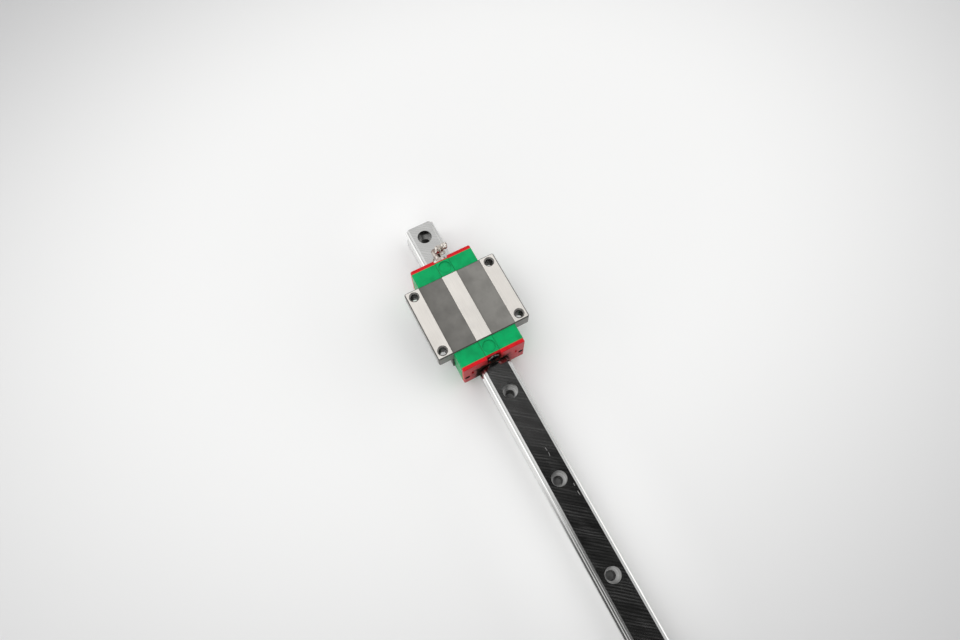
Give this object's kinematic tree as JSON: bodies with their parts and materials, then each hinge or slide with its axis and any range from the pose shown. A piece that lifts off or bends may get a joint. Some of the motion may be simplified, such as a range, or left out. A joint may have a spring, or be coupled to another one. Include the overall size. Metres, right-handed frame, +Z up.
{
  "type": "linear guide rail",
  "caption": "Profiled steel guide rail with counterbored bolt holes and a flanged ball carriage that slides along it, with moulded end caps, end seals and a grease nipple.",
  "frame": {"origin": "middle of the rail's underside, which rests on the floor", "axes": "+X along the rail towards the carriage's front end, +Z up"},
  "size_m": [0.5, 0.063, 0.032],
  "materials": {
    "rail_steel": "ground",
    "block_steel": "ground and plain",
    "cap_green": "moulded",
    "seal_red": "moulded",
    "strip_rubber": "matte",
    "plug_dark": "black oxide",
    "nipple_plated": "nickel plated"
  },
  "bodies": {
    "rail": {"rail": "rail_steel"},
    "carriage": {"carriage_block": "block_steel", "end_cap_front": "cap_green", "end_cap_rear": "cap_green", "end_seal_front": "seal_red", "end_seal_rear": "seal_red", "bottom_seal_left": "strip_rubber", "bottom_seal_right": "strip_rubber", "port_plug": "plug_dark", "grease_nipple": "nipple_plated"}
  },
  "joints": [
    {"name": "carriage_slide", "type": "slide", "parent": "rail", "child": "carriage", "axis": [1, 0, 0], "range_m": [-0.0342, 0.3908]}
  ]
}
